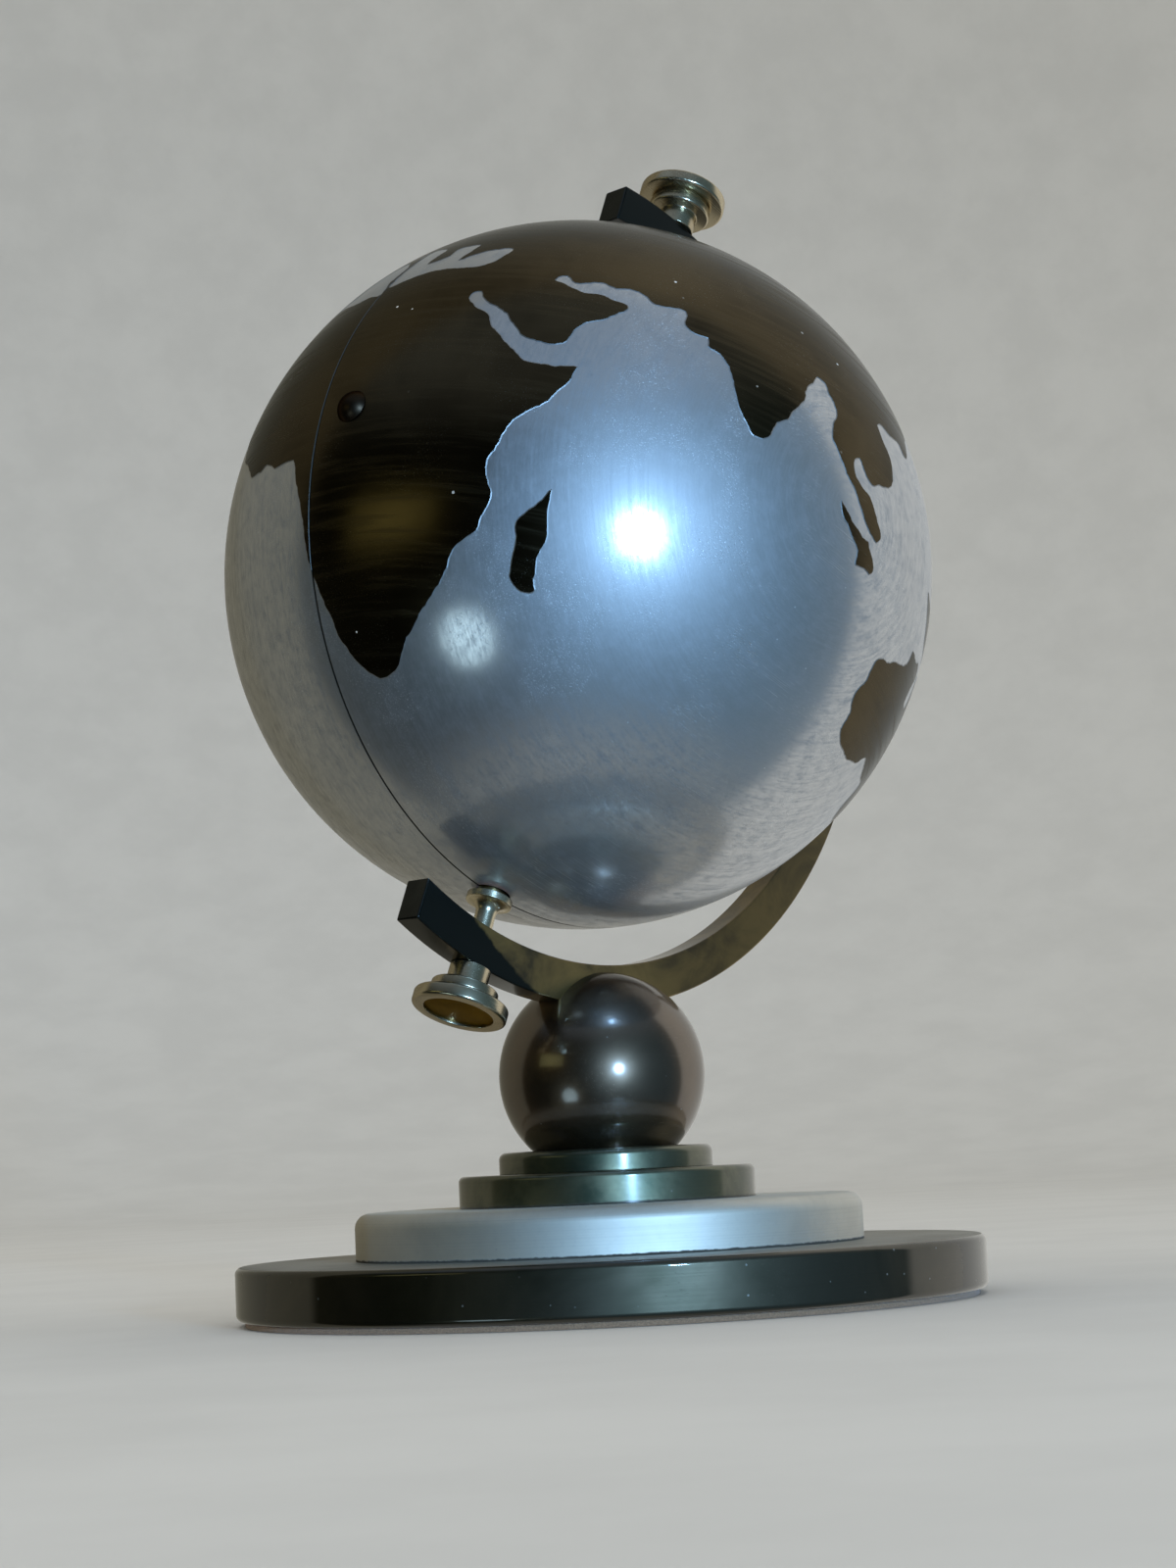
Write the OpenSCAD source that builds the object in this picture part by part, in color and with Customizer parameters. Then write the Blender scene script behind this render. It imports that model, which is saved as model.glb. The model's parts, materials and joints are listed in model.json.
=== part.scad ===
// Desktop globe on a stepped base. A hollow two-part globe turns on two pole
// pins in a half-round arm. The front half is a lid on a side hinge.
// Millimetres, +Z up, origin at the centre of the underside.

/* [Globe] */
// Outer radius of the globe
globe_r = 50; // [48:0.5:50.5]
// Height of the globe's centre above the table
globe_z = 102.4; // [102:0.1:104]
// Lean of the polar axis from upright, in degrees
polar_tilt = 23.5; // [15:0.5:30]
// Wall thickness of the two half shells
shell_t = 1; // [0.8:0.1:1.4]
// Gap along the seam between the two half shells
seam_gap = 0.2; // [0.1:0.05:0.4]

/* [Arm] */
// Inner radius of the arm, from the globe's centre
arm_ri = 55.3; // [55:0.1:56]
// Outer radius of the arm, from the globe's centre
arm_ro = 61; // [60:0.1:62]
// Width of the arm
arm_w = 4.2; // [3.8:0.1:5]
// How far each end of the arm runs past the polar axis
arm_past = 12.8; // [8:0.2:16]

/* [Base] */
// Radius of the bottom disc
disc_r = 51.5; // [48:0.5:58]
// Height of the bottom disc
disc_h = 7.2; // [6.5:0.1:9]
// Radius of the pale tier
tier_r = 35; // [30:0.5:40]
// Height of the pale tier
tier_h = 6.4; // [5:0.1:8]
// Radius of the lower small step
lower_step_r = 20.5; // [18:0.5:24]
// Height of the lower small step
lower_step_h = 4.4; // [3:0.1:5]
// Radius of the upper small step
upper_step_r = 14.8; // [13:0.2:17]
// Height of the upper small step
upper_step_h = 3; // [2:0.1:3.6]
// Radius of the ball
ball_r = 14.3; // [13.5:0.1:15.5]

/* [Knobs] */
// Radius of the large disc of each knob
knob_r = 6.5; // [5.5:0.1:8]
// Radius of the inlay in each knob's face
inlay_r = 4.8; // [3.5:0.1:5]
// Radius of the flange of each spool beside the globe
spool_r = 3.15; // [2.6:0.05:4]
// Radius of the thumb button on the lid
button_r = 2.3; // [1.8:0.1:3]

/* [Hidden] */
$fn = 96;
run_gap = 0.05;                       // radial clearance of a turning fit
wide_gap = 0.3;                       // clearance between parts that pass each other

// Base stack, bottom to top
pad_h = 0.8;
pad_r = disc_r - 1.2;
disc_wall = 1.4;
disc_z = pad_h;
tier_z = disc_z + disc_h;
lower_step_z = tier_z + tier_h;
upper_step_z = lower_step_z + lower_step_h;
seat_z = upper_step_z + upper_step_h;
arm_bottom_z = globe_z - arm_ro;
ball_z = arm_bottom_z + 4.9 - ball_r;

// Tie screw up through the stack into the ball
screw_r = 2;
screw_head_r = 4;
screw_head_h = 2.2;
washer_r = 5.5;
washer_h = 0.8;
recess_h = 3.4;
screw_end_z = ball_z + 2;
dowel_r = 1;
dowel_len = 6;

// Pole pins, measured outward from the globe's centre along the polar axis
pin_r = 0.8;
pin_in = 44.6;
shank_r = 1.2;
neck_r = 2.8;
bush_r = 2.1;
bush_in = 44;
bush_out = globe_r + 0.15;
washer_in = bush_out + 0.05;
washer_out = washer_in + 0.3;
flange_out = washer_out + 1;
knob_out = 67.6;
disc_in = knob_out - 1.9;
inlay_deep = 0.5;

// Inside of the globe
shell_ri = globe_r - shell_t;
lip_ri = shell_ri - 1.3;
lip_ro = shell_ri - wide_gap;
lip_fwd = 1.6;
lip_back = 3;

// Hinge, at the equator on the arm's side
hinge_x = globe_r + 1.5;
knuckle_r = 1.25;
hinge_pin_r = 0.6;
hinge_len = 12;
mid_len = 4;
knuckle_gap = 0.1;
leaf_t = 0.5;
leaf_w = 5.5;
leaf_gap = 1.3;

// Local Z becomes the polar axis (north up), local X points to the arm's side
module polar() translate([0, 0, globe_z]) rotate([0, polar_tilt, 0]) children();
// The same at the south pole, with local Z pointing out of the globe
module south() polar() mirror([0, 0, 1]) children();

// Disc with its top edge rounded (and its bottom edge too when both is true)
module round_disc(r, h, edge, both = false) {
  rotate_extrude() {
    difference() {
      square([r, h]);
      translate([r - edge, h - edge]) difference() {
        square([edge + 1, edge + 1]);
        circle(r = edge);
      }
      if (both) translate([r - edge, edge]) mirror([0, 1]) difference() {
        square([edge + 1, edge + 1]);
        circle(r = edge);
      }
    }
  }
}

module screw_bore(z0, z1) translate([0, 0, z0 - 1]) cylinder(r = screw_r + 0.1, h = z1 - z0 + 2);

// Ring about the polar axis, from radius a to b and from height z0 to z1
module collar(a, b, z0, z1) {
  translate([0, 0, z0]) difference() {
    cylinder(r = b, h = z1 - z0);
    translate([0, 0, -1]) cylinder(r = a, h = z1 - z0 + 2);
  }
}

// ---- Stand ----

module felt_pad() color("saddlebrown") cylinder(r = pad_r, h = pad_h);

module base_disc() color("silver") difference() {
  translate([0, 0, disc_z]) round_disc(disc_r, disc_h, 0.9, true);
  translate([0, 0, disc_z - 1]) cylinder(r = disc_r - disc_wall, h = disc_h - disc_wall + 1);
  screw_bore(disc_z, tier_z);
}

module ballast_plate() color("dimgray") translate([0, 0, disc_z]) difference() {
  cylinder(r = disc_r - disc_wall, h = disc_h - disc_wall);
  translate([0, 0, -1]) cylinder(r = washer_r + 1, h = recess_h + 1);
  screw_bore(0, disc_h);
}

module base_tier() color("gainsboro") difference() {
  translate([0, 0, tier_z]) round_disc(tier_r, tier_h, 2);
  screw_bore(tier_z, lower_step_z);
}

module lower_step() color("slategray") difference() {
  translate([0, 0, lower_step_z]) round_disc(lower_step_r, lower_step_h, 0.8);
  screw_bore(lower_step_z, upper_step_z);
}

module upper_step() color("slategray") difference() {
  translate([0, 0, upper_step_z]) round_disc(upper_step_r, upper_step_h, 1);
  screw_bore(upper_step_z, seat_z);
}

// Ball with a flat seat, a slot that holds the arm and a tapped hole from below
module ball() color("dimgray") difference() {
  translate([0, 0, ball_z]) sphere(r = ball_r);
  translate([-ball_r, -ball_r, seat_z - 2 * ball_r]) cube(2 * ball_r);
  translate([0, arm_w / 2, globe_z]) rotate([90, 0, 0]) cylinder(r = arm_ro, h = arm_w, $fn = 180);
  translate([0, 0, seat_z - 1]) cylinder(r = screw_r, h = screw_end_z - seat_z + 2);
  translate([0, 0, arm_bottom_z - dowel_len / 2]) cylinder(r = dowel_r, h = dowel_len);
}

module tie_screw() color("silver") {
  head_z = disc_z + recess_h - washer_h - screw_head_h;
  difference() {
    union() {
      translate([0, 0, head_z]) cylinder(r = screw_head_r, h = screw_head_h);
      translate([0, 0, head_z]) cylinder(r = screw_r, h = screw_end_z - head_z);
    }
    translate([-0.6, -screw_head_r, head_z - 1]) cube([1.2, 2 * screw_head_r, 2]);
  }
}

module tie_washer() color("silver")
  collar(screw_r + 0.1, washer_r, disc_z + recess_h - washer_h, disc_z + recess_h);

// Square bar bent to a half circle, with both ends cut parallel to the polar axis
module arm() color("darkgray") difference() {
  polar() intersection() {
    rotate([90, 0, 0]) rotate_extrude($fn = 180) arm_section();
    translate([-arm_past, -arm_w, -2 * arm_ro]) cube([2 * arm_ro, 2 * arm_w, 4 * arm_ro]);
  }
  polar() cylinder(r = shank_r, h = 2 * arm_ro);
  south() cylinder(r = shank_r, h = 2 * arm_ro);
  translate([0, 0, arm_bottom_z - dowel_len / 2]) cylinder(r = dowel_r, h = dowel_len);
}

module arm_section() {
  c = 0.25;
  h = arm_w / 2;
  polygon([
    [arm_ri + c, -h], [arm_ro - c, -h], [arm_ro, c - h], [arm_ro, h - c],
    [arm_ro - c, h], [arm_ri + c, h], [arm_ri, h - c], [arm_ri, c - h]
  ]);
}

module arm_dowel() color("silver")
  translate([0, 0, arm_bottom_z - dowel_len / 2]) cylinder(r = dowel_r, h = dowel_len);

// Stepped knob: pin in the globe, shank through the arm, neck and two discs
module knob() rotate_extrude() polygon([
  [0, pin_in], [pin_r, pin_in], [pin_r, arm_ri], [shank_r, arm_ri], [shank_r, arm_ro],
  [neck_r, arm_ro], [neck_r, disc_in - 1.9], [4.3, disc_in - 1.9], [4.6, disc_in - 1.6],
  [4.6, disc_in - 0.7], [4.3, disc_in - 0.4], [3.9, disc_in - 0.4], [3.9, disc_in],
  [knob_r - 0.4, disc_in], [knob_r, disc_in + 0.4], [knob_r, knob_out - 0.4],
  [knob_r - 0.4, knob_out], [inlay_r, knob_out], [inlay_r, knob_out - inlay_deep],
  [0, knob_out - inlay_deep]
]);
module inlay() translate([0, 0, knob_out - inlay_deep]) cylinder(r = inlay_r, h = 0.2);

// Spool between the arm and the globe: flange, concave flare, thin stem
module spool() {
  stem_r = 1.4;
  flare = spool_r - 0.25 - stem_r;
  rotate_extrude() difference() {
    translate([pin_r + 0.02, washer_out]) square([spool_r - pin_r - 0.02, arm_ri - 0.03 - washer_out]);
    translate([stem_r + flare, flange_out + flare]) circle(r = flare);
    translate([stem_r, flange_out + flare]) square([spool_r, arm_ri]);
    translate([stem_r + flare, flange_out]) square([spool_r, arm_ri]);
  }
}
module pole_washer() collar(pin_r + run_gap, 2.3, washer_in, washer_out);

module lower_knob() color("lightgray") south() knob();
module upper_knob() color("lightgray") polar() knob();
module lower_inlay() color("goldenrod") south() inlay();
module upper_inlay() color("goldenrod") polar() inlay();
module lower_spool() color("lightgray") south() spool();
module upper_spool() color("lightgray") polar() spool();
module lower_washer() color("sienna") south() pole_washer();
module upper_washer() color("sienna") polar() pole_washer();

// ---- Globe, rear half ----

// Half of a hollow ball on the +Y side of the seam, open at the poles by radius notch_r
module half_shell(notch_r) difference() {
  sphere(r = globe_r, $fn = 180);
  sphere(r = shell_ri, $fn = 180);
  translate([-2 * globe_r, -4 * globe_r + seam_gap / 2, -2 * globe_r]) cube(4 * globe_r);
  translate([0, 0, -2 * globe_r]) cylinder(r = notch_r, h = 4 * globe_r);
}

module rear_shell() color("silver") polar() half_shell(bush_r);

// Ring that stiffens the rear half's edge and guides the lid
module rim_ring() color("goldenrod") polar() difference() {
  intersection() {
    sphere(r = shell_ri, $fn = 180);
    rotate([90, 0, 0]) translate([0, 0, -lip_back]) difference() {
      union() {
        cylinder(r = globe_r, h = lip_back - seam_gap / 2);
        cylinder(r = lip_ro, h = lip_back + lip_fwd);
      }
      translate([0, 0, -1]) cylinder(r = lip_ri, h = lip_back + lip_fwd + 2);
    }
  }
  translate([0, 0, -globe_r]) cylinder(r = bush_r + 3, h = 2 * globe_r);
}

module bush() {
  collar(pin_r + run_gap, bush_r, bush_in, bush_out);
  collar(pin_r + run_gap, 3.4, bush_in - 0.8, bush_in);
}
// Half-moon block that carries a bush on the inside of the rear shell
module saddle() difference() {
  intersection() {
    translate([0, 0, bush_in]) cylinder(r = bush_r + 2.9, h = globe_r - bush_in);
    sphere(r = shell_ri, $fn = 180);
    translate([-globe_r, seam_gap / 2, 0]) cube([2 * globe_r, globe_r, globe_r]);
  }
  translate([0, 0, bush_in - 1]) cylinder(r = bush_r, h = globe_r);
}

module lower_bush() color("goldenrod") south() bush();
module upper_bush() color("goldenrod") polar() bush();
module lower_saddle() color("goldenrod") south() saddle();
module upper_saddle() color("goldenrod") polar() saddle();

// Leaf on the +Y side, between two heights, bent to the globe
module leaf_plate(z0, z1) intersection() {
  collar(globe_r, globe_r + leaf_t, z0, z1);
  translate([globe_r / 2, leaf_gap, z0 - 1]) cube([globe_r, leaf_w, z1 - z0 + 2]);
}
// Knuckle with the tab that joins it to its leaf
module knuckle(z0, z1, bore) difference() {
  union() {
    translate([hinge_x, 0, z0]) cylinder(r = knuckle_r, h = z1 - z0);
    translate([globe_r + 0.02, 0.4, z0]) cube([leaf_t, leaf_gap, z1 - z0]);
  }
  translate([hinge_x, 0, z0 - 1]) cylinder(r = bore, h = z1 - z0 + 2);
}

module hinge_rear_leaf() color("silver") polar() {
  h = hinge_len / 2;
  m = mid_len / 2 + knuckle_gap;
  leaf_plate(-h, h);
  knuckle(m, h, hinge_pin_r);
  knuckle(-h, -m, hinge_pin_r);
}

module hinge_pin() color("silver") polar()
  translate([hinge_x, 0, -hinge_len / 2]) cylinder(r = hinge_pin_r, h = hinge_len);

// Springy strip with a rounded nose that bears on the lid's catch lug
module catch_spring() color("goldenrod") polar() {
  x = -(lip_ri - 2.2);
  translate([x, 1, -2]) cube([0.5, 9, 4]);
  translate([x, 2.4, -2]) intersection() {
    cylinder(r = 0.7, h = 4);
    translate([-1, -1, 0]) cube([1.2, 2, 4]);
  }
  intersection() {
    translate([-globe_r, 9.5, -3]) cube([globe_r + x + 0.5, 5, 6]);
    difference() {
      sphere(r = shell_ri, $fn = 180);
      translate([x + 0.5, 0, -globe_r]) cube(2 * globe_r);
    }
  }
}

// ---- Lid, front half ----

module front_shell() color("silver") polar() mirror([0, 1, 0]) half_shell(bush_r + 0.5);

module hinge_lid_leaf() color("silver") polar() mirror([0, 1, 0]) {
  leaf_plate(-hinge_len / 2, hinge_len / 2);
  knuckle(-mid_len / 2, mid_len / 2, hinge_pin_r + run_gap);
}

// Low domed button riveted through the lid close to the seam
module thumb_button() color("lightgray") polar() rotate([0, 0, 186.4]) rotate([0, 94, 0]) {
  dome_h = 1.4;
  dome_r = (button_r * button_r + dome_h * dome_h) / (2 * dome_h);
  intersection() {
    translate([0, 0, globe_r + dome_h - dome_r]) sphere(r = dome_r);
    translate([0, 0, globe_r]) cylinder(r = button_r, h = dome_h);
  }
}

// Hook inside the lid's free edge that reaches past the seam to the catch spring
module catch_lug() color("goldenrod") polar() {
  x = -(lip_ri - 0.3);
  translate([x, -6, -2.5]) cube([0.8, 9.5, 5]);
  intersection() {
    translate([-globe_r, -6, -2.5]) cube([globe_r + x + 0.1, 3.6, 5]);
    sphere(r = shell_ri, $fn = 180);
  }
}

felt_pad();
ballast_plate();
base_disc();
base_tier();
lower_step();
upper_step();
ball();
tie_screw();
tie_washer();
arm();
arm_dowel();
lower_knob();
upper_knob();
lower_inlay();
upper_inlay();
lower_spool();
upper_spool();
lower_washer();
upper_washer();
rear_shell();
rim_ring();
lower_bush();
upper_bush();
lower_saddle();
upper_saddle();
hinge_rear_leaf();
hinge_pin();
catch_spring();
front_shell();
hinge_lid_leaf();
thumb_button();
catch_lug();
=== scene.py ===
"""Desktop globe with a hinged lid on a stepped base: its looks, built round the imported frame.

Positions come from the frame, in metres. Shapes are drawn in millimetres about a piece's
own axis and brought to metres in the frame when the piece is finished.
"""
import json
import math

import bmesh
import bpy
import numpy as np
from bmesh.types import BMEdge, BMFace, BMVert
from bpy.props import FloatProperty, FloatVectorProperty, IntProperty, PointerProperty
from mathutils import Matrix, Vector, noise
from mathutils.geometry import delaunay_2d_cdt
from mathutils.kdtree import KDTree


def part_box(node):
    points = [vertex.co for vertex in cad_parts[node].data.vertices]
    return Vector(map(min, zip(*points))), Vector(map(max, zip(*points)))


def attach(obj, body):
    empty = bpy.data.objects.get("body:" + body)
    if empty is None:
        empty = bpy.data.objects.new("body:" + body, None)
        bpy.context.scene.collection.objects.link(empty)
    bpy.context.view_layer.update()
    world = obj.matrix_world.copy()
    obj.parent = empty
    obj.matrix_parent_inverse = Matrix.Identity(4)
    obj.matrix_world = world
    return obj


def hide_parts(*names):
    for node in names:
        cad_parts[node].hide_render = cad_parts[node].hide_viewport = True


bl_info = {
    "name": "Desktop globe",
    "version": (1, 0, 0),
    "blender": (4, 5, 0),
    "location": "View3D > Sidebar > Globe",
    "description": "Builds the pieces and finishes of a desktop globe on a stepped base",
    "category": "Object",
}

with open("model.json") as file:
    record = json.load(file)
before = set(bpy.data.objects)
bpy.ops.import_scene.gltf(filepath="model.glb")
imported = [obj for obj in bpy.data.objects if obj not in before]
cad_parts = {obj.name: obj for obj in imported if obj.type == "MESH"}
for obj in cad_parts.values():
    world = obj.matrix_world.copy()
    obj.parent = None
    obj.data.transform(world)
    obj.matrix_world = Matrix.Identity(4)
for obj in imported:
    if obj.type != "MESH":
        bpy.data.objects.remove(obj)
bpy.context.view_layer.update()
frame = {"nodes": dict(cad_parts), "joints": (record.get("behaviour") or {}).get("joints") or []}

MM = 0.001
SPIN = next(j for j in frame["joints"] if j["name"] == "globe_spin")
CENTRE = Vector(SPIN["pos_m"])
AXIS = Vector(SPIN["axis"])
TILT = math.atan2(AXIS.x, AXIS.z)
UPRIGHT = Matrix.Scale(MM, 4)
POLAR = Matrix.Translation(CENTRE) @ Matrix.Rotation(TILT, 4, "Y") @ UPRIGHT
SOUTH = POLAR @ Matrix.Scale(-1, 4, (0, 0, 1))


def millimetres(metres):
    return metres / MM


def low(node):
    """Lowest corner of a CAD node in millimetres."""
    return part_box(node)[0] / MM


def high(node):
    """Highest corner of a CAD node in millimetres."""
    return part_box(node)[1] / MM


GLOBE_R = high("rear_shell").y
ARM_OUT = millimetres(CENTRE.z) - low("arm").z
ARM_HALF = high("arm").y
KNOB_R = high("upper_knob").y
INLAY_R = high("upper_inlay").y
SPOOL_R = high("upper_spool").y

# Lengths in millimetres that the boxes of the frame do not give
ARM_IN = 55.3
ARM_PAST = 12.8
SHELL_T = 1.0
SEAM_GAP = 0.2
PIN_IN = 44.6
KNOB_OUT = 67.6
SCREW_BORE = 2.1
DISC_WALL = 1.4
NOTCH = {"rear_shell": 2.1, "front_shell": 2.6}
BUTTON_LAT, BUTTON_LON = -4, 186.4
BUTTON_R, BUTTON_H = 2.3, 1.4


# ---------------------------------------------------------------- sizes and colours

def colour(name, text, value):
    """A colour that can be changed in the sidebar."""
    return FloatVectorProperty(name=name, description=text, default=value, subtype="COLOR",
                               size=3, min=0, max=1)


def length(name, text, value, low_end=0.0, high_end=1.0):
    """A length in metres that can be changed in the sidebar."""
    return FloatProperty(name=name, description=text, default=value, min=low_end,
                         max=high_end, unit="LENGTH", precision=5)


def bearing(name, text, degrees):
    """An angle that can be changed in the sidebar."""
    return FloatProperty(name=name, description=text, default=math.radians(degrees),
                         subtype="ANGLE")


class GlobeSizes(bpy.types.PropertyGroup):
    """Fine sizes of the visible metalwork."""
    relief: length("Map relief", "How far the land stands above the etched sea", 0.06 * MM)
    coast: length("Coast width", "Width of the bare slope along each coast", 0.15 * MM)
    seam_edge: length("Seam edge", "Chamfer along the seam of the two halves", 0.08 * MM)
    grid: length("Map grid", "Spacing of the mesh points between the coasts", 1.15 * MM)
    arm_edge: length("Arm edge", "Chamfer along the arm's edges", 0.25 * MM)
    small_edge: length("Small edge", "Chamfer on the hinge and inner parts", 0.06 * MM)
    turns: IntProperty(name="Turning steps", description="Steps in a full turn of a round piece",
                       default=192, min=48, max=360)


class GlobeColours(bpy.types.PropertyGroup):
    """Colours of the finishes."""
    sea: colour("Sea", "Silver of the sea and of the inside", (0.74, 0.745, 0.76))
    land: colour("Land", "Dark bronze polish of the land", (0.098, 0.076, 0.044))
    edge: colour("Coast edge", "Bare metal on the slope along each coast", (0.46, 0.46, 0.455))
    chrome: colour("Base disc", "Dark chrome of the bottom disc", (0.10, 0.085, 0.058))
    worn: colour("Disc top", "Worn satin top of the bottom disc", (0.47, 0.45, 0.40))
    satin: colour("Pale tier", "Matt silver of the tier", (0.87, 0.81, 0.70))
    step: colour("Steps", "Dark greenish polish of the two small steps", (0.19, 0.19, 0.12))
    dark: colour("Ball", "Dark polish of the ball and button", (0.165, 0.115, 0.075))
    bar: colour("Arm", "Yellowed tarnish of the arm", (0.44, 0.31, 0.12))
    nickel: colour("Knobs", "Warm nickel of knobs, spools and hinge", (0.66, 0.58, 0.42))
    brass: colour("Brass", "Brass of the inner parts", (0.62, 0.45, 0.20))
    inlay: colour("Inlay", "Deep amber brass of the knobs' inlays", (0.25, 0.145, 0.01))
    felt: colour("Felt", "Short brown felt under the base", (0.36, 0.24, 0.15))


class GlobeStage(bpy.types.PropertyGroup):
    """Camera and light."""
    azimuth: bearing("Azimuth", "Camera's turn round the object", -46.1)
    distance: length("Distance", "From the upright axis to the camera", 0.4108, high_end=5)
    height: length("Height", "Height of the camera above the floor", 0.0196, high_end=5)
    pitch: bearing("Pitch", "How far the camera looks up", 7.38)
    roll: bearing("Roll", "Turn of the camera about its own axis", -2.72)
    lens: FloatProperty(name="Lens", description="Focal length in millimetres", default=67.5,
                        min=10, max=300)
    key_power: FloatProperty(name="Key light", description="Power of the key light",
                             default=1.75, unit="POWER")
    fill_power: FloatProperty(name="Overhead light", description="Power of the overhead light",
                              default=2.6, unit="POWER")
    room: colour("Room", "The dim room in front of the object, bluish", (0.060, 0.098, 0.122))
    ceiling: colour("Ceiling", "Bluish ceiling of the room", (0.19, 0.23, 0.28))
    corner: colour("Corner", "The darkest corner of the room", (0.012, 0.014, 0.011))
    surround: colour("Surround", "Pale surround behind the object", (0.60, 0.60, 0.565))
    shaded: colour("Shaded side", "The surround's shaded side", (0.20, 0.19, 0.145))
    ambient: colour("Ambient", "Even light on the matt surfaces", (0.95, 0.95, 0.935))
    under: colour("Underside", "What the underside of the object sees", (0.23, 0.24, 0.225))
    floor: colour("Floor", "Plain pale floor", (0.61, 0.605, 0.575))


# ---------------------------------------------------------------- shader maths

class Wire:
    """A socket of a node tree that takes part in Python sums."""

    def __init__(self, finish, socket):
        self.finish, self.socket = finish, socket

    def maths(self, operation, *values):
        return self.finish.node("ShaderNodeMath", {"operation": operation},
                                dict(enumerate(values)))

    def __add__(self, other):
        return self.maths("ADD", self, other)

    def __sub__(self, other):
        return self.maths("SUBTRACT", self, other)

    def __rsub__(self, other):
        return self.maths("SUBTRACT", other, self)

    def __mul__(self, other):
        return self.maths("MULTIPLY", self, other)

    def __pow__(self, other):
        return self.maths("POWER", self, other)

    __radd__ = __add__

    def above(self, start, end):
        """0 below start and 1 above end, with a soft step between them."""
        return self.finish.node("ShaderNodeMapRange", {"interpolation_type": "SMOOTHSTEP"},
                                {"Value": self, "From Min": start, "From Max": end})

    def below(self, start, end):
        """1 below start and 0 above end, with a soft step between them."""
        return 1 - self.above(start, end)


class Finish:
    """A node material, built by expressions on wires."""

    def __init__(self, name, tree=None):
        self.material = None
        if tree is None:
            self.material = bpy.data.materials.new(name)
            self.material.use_nodes = True
            tree = self.material.node_tree
        self.tree = tree
        self.tree.nodes.clear()

    def node(self, kind, settings=None, inputs=None, output=0):
        """Adds a node, sets it, feeds its sockets and returns one of its outputs."""
        made = self.tree.nodes.new(kind)
        for key, value in (settings or {}).items():
            setattr(made, key, value)
        for key, value in (inputs or {}).items():
            socket = made.inputs[key]
            if isinstance(value, Wire):
                self.tree.links.new(value.socket, socket)
            else:
                socket.default_value = (*value, 1) if socket.type == "RGBA" else value
        return Wire(self, made.outputs[output]) if len(made.outputs) else made

    def place(self, turned=False):
        """Object coordinates in millimetres. Turned ones stand in the globe's polar axes."""
        at = self.node("ShaderNodeTexCoord", output=3)
        if turned:
            at = self.node("ShaderNodeMapping", {"vector_type": "TEXTURE"},
                           {"Vector": at, "Location": CENTRE, "Rotation": (0, TILT, 0)})
        return self.node("ShaderNodeVectorMath", {"operation": "MULTIPLY"},
                         {0: at, 1: [1 / MM] * 3})

    def split(self, at):
        made = self.node("ShaderNodeSeparateXYZ", inputs={0: at}).socket.node
        return [Wire(self, s) for s in made.outputs]

    def join(self, x, y, z):
        return self.node("ShaderNodeCombineXYZ", inputs={0: x, 1: y, 2: z})

    def noise(self, at, per_mm, detail=3, rough=0.55, warp=0.0):
        return self.node("ShaderNodeTexNoise", inputs={
            "Vector": at, "Scale": per_mm, "Detail": detail, "Roughness": rough,
            "Distortion": warp})

    def specks(self, at, per_mm, size, share=0.5):
        """Small round spots: about `share` of the cells of a pattern hold one each."""
        cell = {"Vector": at, "Scale": per_mm}
        gap = self.node("ShaderNodeTexVoronoi", inputs=cell)
        chance = self.split(self.node("ShaderNodeTexVoronoi", inputs=cell, output=1))
        chosen = chance[0].above(1 - share, 1 - share + 0.02)
        return gap.below(size * 0.6, size) * chosen * chance[1].above(0, 0.8)

    def scratches(self, at, along, across, thin=0.66):
        """Fine straight marks along one direction."""
        drawn = self.node("ShaderNodeMapping", {"vector_type": "POINT"},
                          {"Vector": at, "Rotation": along, "Scale": (0.05, across, across)})
        patch = self.noise(at, 0.09, 2)
        return self.noise(drawn, 1, 2, 0.4).above(thin, thin + 0.07) * patch.above(0.42, 0.62)

    def mix(self, share, first, second):
        return self.node("ShaderNodeMix", {"data_type": "RGBA"},
                         {0: share, 6: first, 7: second}, output=2)

    def over(self, base, *layers):
        """Lays tones over a base, each given as (share, tone)."""
        for share, tone in layers:
            base = self.mix(share, base, tone)
        return base

    def bump(self, height, depth):
        """A normal from a height, with depth in millimetres."""
        return self.node("ShaderNodeBump", inputs={"Height": height, "Distance": depth * MM,
                                                   "Strength": 1.0})

    def metal(self, **inputs):
        """The shader itself. Words of a socket's name are joined by an underscore."""
        sockets = {k.replace("_", " "): v for k, v in inputs.items()}
        sockets.setdefault("Metallic", 1.0)
        shader = self.node("ShaderNodeBsdfPrincipled", inputs=sockets)
        self.node("ShaderNodeOutputMaterial", inputs={0: shader})
        return self.material


def distance(a, b):
    """Distance from the axis that two wires are measured from."""
    return (a * a + b * b) ** 0.5


def off_axis(x, y, z):
    """Angle in radians between a point and the y axis, the own axis of both halves."""
    return y.maths("ARCTAN2", distance(x, z), y)


def shade(tone, amount):
    """A colour made lighter or darker."""
    return tuple(min(1.0, c * amount) for c in tone)


def blank(name, turned=True):
    """A new finish, the scene's tones, and where a point is, in millimetres."""
    f = Finish(name)
    return f, bpy.context.scene.globe_colours, f.place(turned)


# ---------------------------------------------------------------- finishes

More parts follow.
